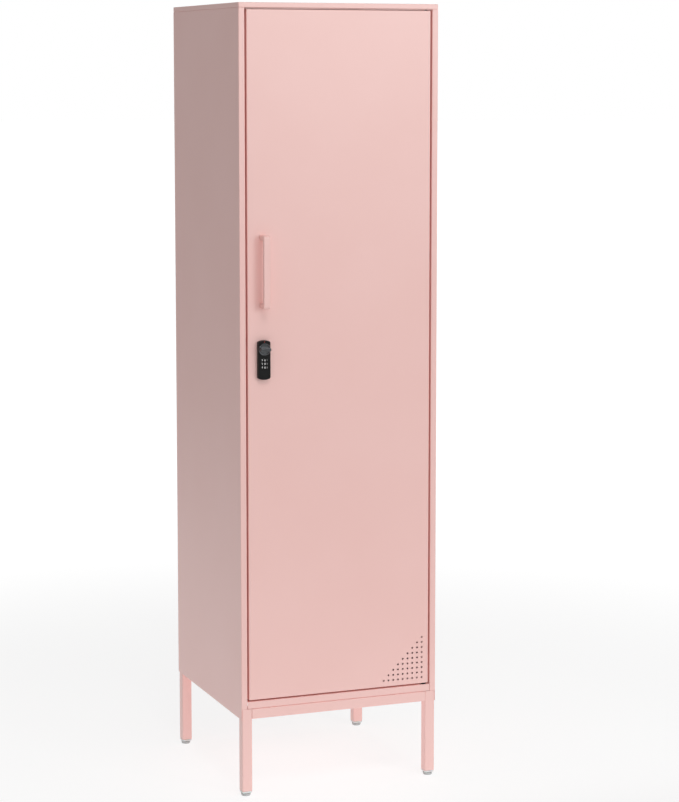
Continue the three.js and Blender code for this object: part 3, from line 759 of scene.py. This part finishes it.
def handle_outline(distance):
    """The handle from the side: a bar on two legs, round outside and inside."""
    _, _, front, foot, z0, z1 = extent("door_handle")
    bar, leg = 0.007, 0.0095
    corners = [(foot, z0), (foot, z0 + leg), (front + bar, z0 + leg), (front + bar, z1 - leg)]
    corners += [(foot, z1 - leg), (foot, z1), (front, z1), (front, z0)]
    crisp, inner, outer = 0.0002, 0.005, 0.006
    radii = [crisp, crisp, inner, inner, crisp, crisp, outer, outer]
    return rounded(corners, distance, radii, 10)


def door_handle():
    """The bar, with a blind hole up each leg for its screw."""
    x0, x1 = extent("door_handle")[:2]
    edge = 0.0016
    bar = slab(handle_outline, "x", x0, x1, (edge, edge), 5)
    holes = []
    for end in ENDS:
        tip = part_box("handle_screw_" + end)[0].y - SHEET
        holes.append(rod(SCREW_HOLE, "y", middle_of("handle_screw_" + end).xz, tip, FRONT + SHEET))
    finished(boolean(bar, holes), "door_handle")


def cross_recess(centre, y0, y1, size):
    """A cross-shaped cutter for a screw's head."""
    arm = size * 0.28
    quarter = [Vector(p) for p in ((arm, size), (-arm, size), (-arm, arm))]
    turns = [Matrix.Rotation(math.pi / 2 * k, 2) for k in range(4)]
    return slab([centre + turn @ p for turn in turns for p in quarter], "y", y0, y1)


def pan_screw(node, shank, seat, head):
    """A pan-head screw along Y with a cross recess and a thread; shank and head are radii."""
    _, _, tip, top, _, _ = extent(node)
    centre = middle_of(node).xz
    profile = [(0, tip), (shank - 0.0004, tip), (shank, tip + 0.0005)]
    pitch, depth = 0.0007, 0.0003
    for k in range(int((seat - tip - 0.001) / pitch)):
        start = tip + 0.0006 + k * pitch
        profile += [(shank, start), (shank - depth, start + pitch / 2)]
    profile += [(shank, seat - GAP), (shank, seat)]
    dome = [(shank, seat), (head, seat), (head * 0.86, top - 0.0002), (0, top)]
    solid = turned(profile + fillet(dome, 0.0006, support=0.0001)[1:], "y", centre, 40)
    recess = cross_recess(centre, top - 0.0009, top + 0.001, head * 0.52)
    finished(boolean(solid, [recess]), node)


def door():
    door_panel()
    door_stiffener()
    door_handle()
    for end in ENDS:
        door_bumper("door_bumper_" + end)
        pan_screw("handle_screw_" + end, shank=0.002, seat=FRONT + SHEET + GAP, head=0.004)


# ---- Hinge ----


def hinge_pin_housing():
    """A moulded block with a bore and a spring pocket; ribs stiffen its free side."""
    x0, x1, y0, y1, z0, z1 = extent("hinge_pin_housing")
    solid = block(x0, x1, y0, y1, z0, z1, 0.0016, 0.0008)
    low, high, wide = z0 + 0.0045, z1 - 0.0042, 0.0039
    bore = [(0, z0 - SHEET), (PIVOT_HOLE, z0 - SHEET), (PIVOT_HOLE, low), (wide, low)]
    bore += [(wide, high), (PIVOT_HOLE, high), (PIVOT_HOLE, z1 + SHEET), (0, z1 + SHEET)]
    cutters = [turned(bore, "z", PIVOT.xy, 32)]
    relief = rectangle(x0 + 0.0025, x0 + 0.0085, y1 - 0.004, y1 + SHEET)
    bays, rib, first = 3, 0.001, z0 + 0.0025
    pitch = (z1 - z0 - 0.004) / bays
    for k in range(bays):
        start = first + k * pitch
        cutters.append(slab(rounded(relief, radius=0.0005), "z", start, start + pitch - rib))
    finished(boolean(solid, cutters), "hinge_pin_housing")


def upper_hinge_pin():
    """The sprung pin, with a collar for its spring."""
    x0, x1, _, _, z0, z1 = extent("upper_hinge_pin")
    pin, collar, tip = PIVOT_PIN, (x1 - x0) / 2, 0.0016
    low, high = z1 - 0.016, z1 - 0.0145
    profile = [(0, z0), (pin, z0), (pin, low), (collar, low), (collar, high)]
    profile += [(pin, high), (pin, z1 - 0.001), (tip, z1), (0, z1)]
    finished(turned(fillet(profile, 0.0003), "z", PIVOT.xy), "upper_hinge_pin")


def hinge_pin_lever():
    """The finger lever on the pin's foot: a bar with a ridged end and an eye round the pin."""
    x0, _, y0, y1, z0, z1 = extent("hinge_pin_lever")
    half, ridges, pitch, groove = 0.0018, 4, 0.0025, 0.0006
    outline = rounded(rectangle(x0, PIVOT.x, PIVOT.y - half, PIVOT.y + half), radius=0.0017)
    edges = (0.0005, 0.0005)
    bar = slab(outline, "z", z0, z1, edges)
    eye = slab(circle(PIVOT.xy, (y1 - y0) / 2, 32), "z", z0, z1, edges)
    cutters = [pivot_cutter(z0 - SHEET, z1 + SHEET)]
    for k in range(ridges):
        place = (x0 + 0.004 + k * pitch, z0)
        cutters.append(rod(groove, "y", place, y0 - SHEET, y1 + SHEET, segments=12))
    finished(boolean(boolean(bar, [eye], "UNION"), cutters), "hinge_pin_lever")


def hinge_spring():
    """A compression spring round the pin; on the real hinge it shortens as the pin is drawn down, here it
    keeps one length.
    """
    _, _, _, _, low, high = extent("hinge_spring")
    radius, wire, turns, segments, sides = 0.00325, 0.00035, 5, 200, 12
    up = Vector((0, 0, 1))
    rise = high - low - 2 * wire
    spokes = [2 * math.pi * i / sides for i in range(sides)]
    rings = []
    for k in range(segments + 1):
        share = k / segments
        angle = 2 * math.pi * turns * share
        out = Vector((math.cos(angle), math.sin(angle), 0))
        centre = PIVOT + out * radius + up * (low + wire + rise * share)
        rings.append([centre + (out * math.cos(a) + up * math.sin(a)) * wire for a in spokes])
    spring = finished(loft(rings), "hinge_spring")
    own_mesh(spring)


def lower_hinge_pin():
    """A pin with a pointed tip, welded to a plate that lies on the door's lower lip."""
    x0, x1, y0, y1, z0, z1 = extent("lower_hinge_pin")
    plate, tip = DOOR_Z0 + SHEET + GAP, 0.0017
    profile = [(0, z0), (tip, z0), (PIVOT_PIN, z0 + 0.001), (PIVOT_PIN, z1), (0, z1)]
    pin = turned(fillet(profile, 0.0004), "z", PIVOT.xy)
    foot = block(x0, x1, y0, y1, plate, plate + 0.002, 0.0015, 0.0004)
    finished(boolean(pin, [foot], "UNION"), "lower_hinge_pin")


def lower_hinge_washer():
    x0, x1, _, _, z0, z1 = extent("lower_hinge_washer")
    r = (x1 - x0) / 2
    section = rectangle(PIVOT_HOLE, r, z0, z1)
    ring = turned(fillet(section, 0.0004, closed=True), "z", PIVOT.xy, close=True)
    finished(ring, "lower_hinge_washer")


def hinge():
    hinge_pin_housing()
    upper_hinge_pin()
    hinge_pin_lever()
    hinge_spring()
    lower_hinge_pin()
    lower_hinge_washer()


# ---- Lock ----
POSITIONS = 10  # numbers on a dial


def lock_outline():
    """The front case seen from the front: straight sides, slightly arched ends, rounded corners."""
    x0, x1, _, _, z0, z1 = extent("lock_housing")
    rise, corner = 0.0022, 0.0042
    half = (x1 - x0) / 2
    shares = (-1, -0.4, -0.2, 0, 0.2, 0.4, 1)
    arch = [(half * share, rise * (1 - share * share)) for share in shares]
    outline = [(LOCK_X + x, z0 + rise - h) for x, h in arch]
    outline += [(LOCK_X - x, z1 - rise + h) for x, h in arch]
    radii = [corner if abs(share) == 1 else None for share in shares] * 2
    return fillet(outline, radii, closed=True, steps=6)


def lock_case():
    """The case's front, with a shallow field inside a raised rim."""
    field, edge = 0.0003, 0.0013
    levels = [(0.0036, LOCK_FACE + field), (0.0020, LOCK_FACE + field), (0.0018, LOCK_FACE)]
    levels += rim(edge, LOCK_FACE, 1)
    levels += [(0, LOCK_FACE + 0.003), (0, FRONT - 2 * GAP), (GAP, FRONT - GAP)]
    return stacked(lock_outline(), "y", levels)


def dial_window(node):
    """A cutter for the window that a dial shows through, flared at the case's face."""
    _, _, _, _, z0, z1 = extent(node)
    half = 0.0064
    opening = across_lock(half, z0 - GAP, z1 + GAP)
    levels = [(-0.0003, LOCK_FACE - 0.0001), (0, LOCK_FACE + 0.0005), (0, LOCK_FACE + 0.002)]
    return stacked(lambda d: rounded(opening, d, 0.0006), "y", levels)


def lock_housing():
    """The case and a block through the door behind it, hollow for the dials, their shaft and the spindle."""
    _, _, _, rear, z0, z1 = extent("lock_housing")
    half, margin = 0.0097, 0.005
    core = rounded(across_lock(half, z0 + margin, z1 - margin), radius=0.002)
    solid = boolean(lock_case(), [slab(core, "y", FRONT - SHEET, rear, (0, 0.0006))], "UNION")
    half, margin = 0.0086, 0.0009
    low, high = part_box(DIALS[0])[0].z - margin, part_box(DIALS[-1])[1].z + margin
    pocket = across_lock(half, LOCK_FACE + SHEET, rear + SHEET)
    solid = boolean(solid, [slab(pocket, "z", low, high)])
    solid = boolean(solid, [dial_window(name) for name in DIALS])
    beyond = 0.0025
    holes = [rod(SHAFT_HOLE, "z", (LOCK_X, middle_of(DIALS[0]).y), low - beyond, high + beyond)]
    holes.append(rod(SPINDLE_HOLE, "y", SPINDLE, LOCK_FACE - SHEET, rear + SHEET))
    finished(boolean(solid, holes), "lock_housing")


def digit(text, size, place, normal):
    """One raised digit, upright, facing along normal."""
    curve = bpy.data.curves.new("digit", "FONT")
    curve.body, curve.size, curve.align_x, curve.align_y = text, size, "CENTER", "CENTER"
    curve.extrude, curve.resolution_u, curve.offset = 0.00006, 3, size * 0.02
    obj = linked("digit", curve)
    graph = bpy.context.evaluated_depsgraph_get()
    mesh = bpy.data.meshes.new_from_object(obj.evaluated_get(graph))
    up = Vector((0, 0, 1))
    right = up.cross(normal)
    turn = Matrix((right, up, normal)).transposed().to_4x4()
    mesh.transform(Matrix.Translation(place) @ turn)
    bm = bmesh.new()
    bm.from_mesh(mesh)
    bpy.data.objects.remove(obj)
    bpy.data.meshes.remove(mesh)
    bmesh.ops.remove_doubles(bm, verts=bm.verts, dist=1e-7)
    return bm


def dial_ring(centre, radius, z):
    """A ring round the wheel, with a grip notch between each two of its flats; radius says how far out."""
    notch = 0.93
    shoulders = ((-8.5, 1.0), (-5.0, 1.0), (-2.6, notch), (2.6, notch), (5.0, 1.0), (8.5, 1.0))
    ring = []
    for k in range(POSITIONS):
        facing = 2 * math.pi * (k + 0.5) / POSITIONS - math.pi / 2
        for turn, share in shoulders:
            ring.append((*polar(centre, radius(share), facing + math.radians(turn)), z))
    return ring


def dial(node):
    """A number wheel: ten flats that carry the digits 0 to 9, with a grip notch between each two."""
    _, _, y0, y1, z0, z1 = extent(node)
    centre, outer = middle_of(node), (y1 - y0) / 2
    levels = [(0.0006, z0), (0.0002, z0 + 0.0002), (0, z0 + 0.0007)]
    levels += [(0, z1 - 0.0007), (0.0002, z1 - 0.0002), (0.0006, z1)]
    wheel = loft([dial_ring(centre, lambda share: outer * share - d, z) for d, z in levels])
    finished(boolean(wheel, [rod(SHAFT_HOLE, "z", centre.xy, z0 - SHEET, z1 + SHEET)]), node)
    flat, size = outer * math.cos(math.radians(9.5)), 0.0052
    digits = []
    for k in range(POSITIONS):
        angle = 2 * math.pi * k / POSITIONS - math.pi / 2
        normal = Vector((math.cos(angle), math.sin(angle), 0))
        digits.append(digit(str(k), size, centre + normal * flat, normal))
    make_object(joined(digits), node + "_digits", BODY_OF[node], MATERIALS["white_mark"])


def dial_shaft():
    x0, x1, _, _, z0, z1 = extent("dial_shaft")
    r = (x1 - x0) / 2
    profile = fillet(rectangle(0, r, z0, z1), 0.0003)
    finished(turned(profile, "z", middle_of("dial_shaft").xy, 24), "dial_shaft")


def lock_knob():
    """A disc with a bevelled rim and a shallow dish, a grip bar across it, and the spindle behind."""
    x0, x1, y0, y1, _, _ = extent("lock_knob")
    r, face, back, spindle = (x1 - x0) / 2, LOCK_FACE - 0.0025, LOCK_FACE - GAP, SPINDLE_HOLE - GAP
    profile = [(0, face + 0.0007), (r - 0.0030, face + 0.0007), (r - 0.0023, face), (r - 0.0011, face)]
    profile += [(r, face + 0.0011), (r, back), (spindle, back), (spindle, y1), (0, y1)]
    disc = turned(fillet(profile, 0.00035, support=0.0001), "y", SPINDLE, 96)
    reach, grip = r - 0.0012, 0.0032
    bar = rounded(across_lock(reach, KNOB_Z - grip, KNOB_Z + grip), 0, 0.0025, 8)
    solid = boolean(disc, [slab(bar, "y", y0, face + 0.0012, (0.0014, 0), 5)], "UNION")
    pointer = across_lock(0.0004, KNOB_Z - 0.001, KNOB_Z + 0.001)
    finished(boolean(solid, [slab(pointer, "y", y0 - SHEET, y0 + 0.0003)]), "lock_knob", 26)


def index_mark():
    """A red dot over the knob that shows where the knob points."""
    place, r = (LOCK_X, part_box("lock_housing")[1].z - 0.0026), 0.0009
    low, high = LOCK_FACE + 0.0001, LOCK_FACE + 0.0004
    dot = turned(fillet(rectangle(0, r, low, high), 0.0001), "y", place, 24)
    make_object(dot, "lock_index_mark", "door", MATERIALS["red_mark"])


def cover_shell(front, back, z0, z1, r):
    """A stadium-shaped shell with a raised rim, and a boss round the spindle."""
    steps, step_down, boss_radius = 20, 0.0006, 0.0079
    arcs = [math.pi * k / steps for k in range(steps + 1)]
    outline = [polar((LOCK_X, z1 - r), r, a) for a in arcs]
    outline += [polar((LOCK_X, z0 + r), -r, a) for a in arcs]
    levels = [(0.0042, back - step_down), (0.0028, back - step_down), (0.0024, back)]
    levels += [*rim(0.0014, back, -1), (0, back - 0.003), (0, front)]
    shell = stacked(outline, "y", levels)
    boss = slab(circle(SPINDLE, boss_radius), "y", back - 0.002, back, (0, 0.0004))
    return boolean(shell, [boss], "UNION")


def lock_back_cover():
    """The lock's cover inside the door, hollow, with a reset slot, a screw hole and the spindle's hole."""
    x0, x1, front, back, z0, z1 = extent("lock_back_cover")
    shell = cover_shell(front, back, z0, z1, (x1 - x0) / 2)
    half, margin, wall = 0.010, 0.0047, 0.003
    inside = across_lock(half, z0 + margin, z1 - margin)
    shell = boolean(shell, [slab(rounded(inside, radius=0.003), "y", front - SHEET, back - wall)])
    reset = rounded(rectangle(LOCK_X - 0.0030, LOCK_X + 0.0012, z0 + 0.0135, z0 + 0.0225), radius=0.0012)
    through = (back - wall - SHEET, back + SHEET)
    holes = [slab(reset, "y", *through)]
    holes.append(rod(0.0018, "y", middle_of("lock_cover_screw").xz, *through))
    holes.append(rod(0.0045, "y", SPINDLE, *through))
    finished(boolean(shell, holes), "lock_back_cover")


def reset_lever():
    """The small bent lever in the cover's slot that sets a new combination."""
    _, _, _, back, z0, _ = extent("lock_back_cover")
    path = [(LOCK_X + 0.0002, z0 + 0.0140), (LOCK_X - 0.0009, z0 + 0.0175), (LOCK_X - 0.0009, z0 + 0.0220)]
    line, half = fillet(path, 0.006, steps=8), 0.0005
    sides = [(p, move * half) for p, move in zip(line, mitres(line, False))]
    outline = [p + out for p, out in reversed(sides)] + [p - out for p, out in sides]
    lever = slab(outline, "y", back - 0.0035, back + 0.0006, (0, 0.0002), 2)
    make_object(lever, "lock_reset_lever", "door", MATERIALS["zinc_steel"])


def lock_cam():
    """A flat bar with a pointed nose, on a hub that spaces it behind the stile."""
    x0, x1, y0, y1, z0, z1 = extent("lock_cam")
    plate, hub_radius = y1 - 0.0025, 0.008
    tip, slope = 0.0022, [(0.0046, 0.0050), (0.0028, 0.0072), (0, 0.010)]
    corners = [(x0, z0), (x1, z0), *[(x1 - d, z1 - h) for d, h in reversed(slope)]]
    corners += [(LOCK_X + tip, z1), (LOCK_X - tip, z1), *[(x0 + d, z1 - h) for d, h in slope]]
    heel, blunt, crisp = 0.0045, 0.001, 0.0006
    radii = [heel, heel, *[blunt, crisp, crisp, blunt] * 2]
    bar = slab(fillet(corners, radii, closed=True), "y", plate, y1, (0.0004, 0.0005))
    hub = slab(circle(SPINDLE, hub_radius), "y", y0, plate + SHEET, (0.0005, 0))
    whole = boolean(bar, [hub], "UNION")
    bore = rod(SPINDLE_HOLE, "y", SPINDLE, y0 - SHEET, y1 + SHEET)
    finished(boolean(whole, [bore]), "lock_cam")


def lock_cam_nut():
    """A round nut with a domed edge and two flats."""
    x0, x1, y0, y1, _, _ = extent("lock_cam_nut")
    r, bore, dome, seat = (x1 - x0) / 2, SPINDLE_HOLE, 0.0016, 0.0014
    profile = [(bore, y0), (r, y0), (r, y1 - dome), (r - dome, y1), (bore, y1)]
    nut = turned(fillet(profile, 0.0006, closed=True), "y", SPINDLE, 64, close=True)
    cutters = []
    for side in (-1, 1):
        near, far = sorted((LOCK_X + side * (r - 0.0009), LOCK_X + side * (r + 2 * SHEET)))
        flat = rectangle(near, far, KNOB_Z - r, KNOB_Z + r)
        cutters.append(slab(flat, "y", y0 + seat, y1 + SHEET))
    finished(boolean(nut, cutters), "lock_cam_nut")


def lock():
    lock_housing()
    for name in DIALS:
        dial(name)
    dial_shaft()
    lock_knob()
    index_mark()
    lock_back_cover()
    pan_screw("lock_cover_screw", shank=0.0015, seat=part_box("lock_back_cover")[1].y + GAP, head=0.0026)
    reset_lever()
    lock_cam()
    lock_cam_nut()


# ---- Stage: floor, lights, world, camera ----


def measured(nodes, links, coordinates, vector=None):
    """The dot product of the texture coordinates with a vector, or without one their length."""
    place = nodes.new("ShaderNodeTexCoord")
    measure = nodes.new("ShaderNodeVectorMath")
    measure.operation = "DOT_PRODUCT" if vector else "LENGTH"
    measure.inputs[1].default_value = vector or (0, 0, 0)
    links.new(place.outputs[coordinates], measure.inputs[0])
    return measure.outputs["Value"]


def spread(nodes, links, value, near, far):
    """A value turned into 0 at near and 1 at far, smoothly."""
    node = nodes.new("ShaderNodeMapRange")
    node.interpolation_type = "SMOOTHSTEP"
    node.inputs["From Min"].default_value = near
    node.inputs["From Max"].default_value = far
    links.new(value, node.inputs["Value"])
    return node.outputs["Result"]


def blended(nodes, links, blend, first, second):
    """Two greys joined by a blend mode: each an output, or a ramp as (value, near, far, low, high)."""
    mix = nodes.new("ShaderNodeMix")
    mix.data_type, mix.blend_type = "RGBA", blend
    mix.inputs["Factor"].default_value = 1.0
    for source, socket in ((first, mix.inputs[6]), (second, mix.inputs[7])):
        if isinstance(source, tuple):
            value, near, far, low, high = source
            share = spread(nodes, links, value, near, far)
            ramp(nodes, links, share, [(0, grey(low)), (1, grey(high))], socket)
        else:
            links.new(source, socket)
    return mix.outputs[2]


def floor_material():
    """A pale floor that glows, with painted shade: its glow is weaker far to the left, close by and in front,
    a painted shadow pool round the cabinet.
    """
    material, nodes, links, shader = new_material("studio_floor", grey(0.22), 0.9)
    across = measured(nodes, links, "Object", (1, -0.2, 0))
    away = measured(nodes, links, "Object")
    # painted shadow: the glow colour is darker to the left and close to the cabinet
    painted_shade_glow = blended(nodes, links, "MULTIPLY", (across, -2.6, -0.6, 0.45, 1), (away, 0.9, 3.0, 0.82, 1))
    links.new(painted_shade_glow, shader.inputs["Emission Color"])
    inward = measured(nodes, links, "Object", (0, 1, 0))
    nearness = spread(nodes, links, inward, -1.8, -0.25)
    # painted shade: the glow is weaker in front of the cabinet
    ramp(nodes, links, nearness, [(0, grey(0.42)), (1, grey(1.0))], shader.inputs["Emission Strength"])
    return material


def make_floor():
    radii = (0.0, 1.0, 4.0, 60.0)
    disc = loft([[at("z", *p, 0.0) for p in circle((0, 0), r, 96)] for r in radii], caps=False)
    bmesh.ops.recalc_face_normals(disc, faces=disc.faces)
    mesh = mesh_from(disc, "studio_floor")
    mesh.materials.append(floor_material())
    linked("studio_floor", mesh)


def area_light(name, place, target, size, power):
    """A rectangular lamp at a place that shines towards a target."""
    data = bpy.data.lights.new(name, "AREA")
    data.shape, data.energy = "RECTANGLE", power
    data.size, data.size_y = size
    light = linked(name, data)
    light.location = place
    way = Vector(target) - Vector(place)
    light.rotation_mode = "QUATERNION"
    light.rotation_quaternion = way.to_track_quat("-Z", "Y")


def make_lights():
    """A key lamp on the door, two overhead and a weak one on the left side."""
    chest = (0, 0, 1.0)
    area_light("key", (1.9, -4.3, 2.2), (0, FRONT, 1.3), size=(1.35, 1.4), power=36)
    area_light("overhead", (-0.3, -2.9, 4.2), chest, size=(1.8, 1.4), power=42)
    area_light("left_fill", (-3.4, -1.8, 3.1), (0, 0, 1.5), size=(1.0, 1.2), power=7)
    area_light("top_fill", (0, 0.3, 4.6), chest, size=(1.6, 1.6), power=22)


def make_world():
    """White round the horizon but for the left, under a sky that is brighter on the door's side."""
    world = bpy.data.worlds.new("studio")
    bpy.context.scene.world = world
    world.use_nodes = True
    nodes, links = world.node_tree.nodes, world.node_tree.links
    height = measured(nodes, links, "Generated", (0, 0, 1))
    rightward = measured(nodes, links, "Generated", (1, 0, 0))
    facing = measured(nodes, links, "Generated", (0.1, -0.85, 0.5))
    horizon = blended(nodes, links, "MULTIPLY", (height, 0.10, 0.16, 1, 0), (rightward, -0.4, 0.14, 0.45, 1))
    sky = blended(nodes, links, "LIGHTEN", horizon, (facing, 0.2, 1.0, 0.08, 0.45))
    links.new(sky, nodes["Background"].inputs["Color"])


def make_camera():
    """Looks at the door from the front left, near the height of the cabinet's top."""
    data = bpy.data.cameras.new("camera")
    data.sensor_width = 36
    data.lens = 106.1
    data.shift_y = -0.0735
    tilt_down, turn_right = math.radians(6.55), math.radians(21.27)
    camera = linked("camera", data)
    camera.location = (-1.614, FRONT - 4.144, 1.375)
    camera.rotation_euler = (math.pi / 2 - tilt_down, 0, -turn_right)
    bpy.context.scene.camera = camera


bpy.context.scene.view_settings.view_transform = "Standard"
bpy.context.scene.cycles.diffuse_bounces = 10  # the compartments are lit by their own walls
MATERIALS = make_materials()
body()
base()
door()
hinge()
lock()
make_floor()
make_lights()
make_world()
make_camera()
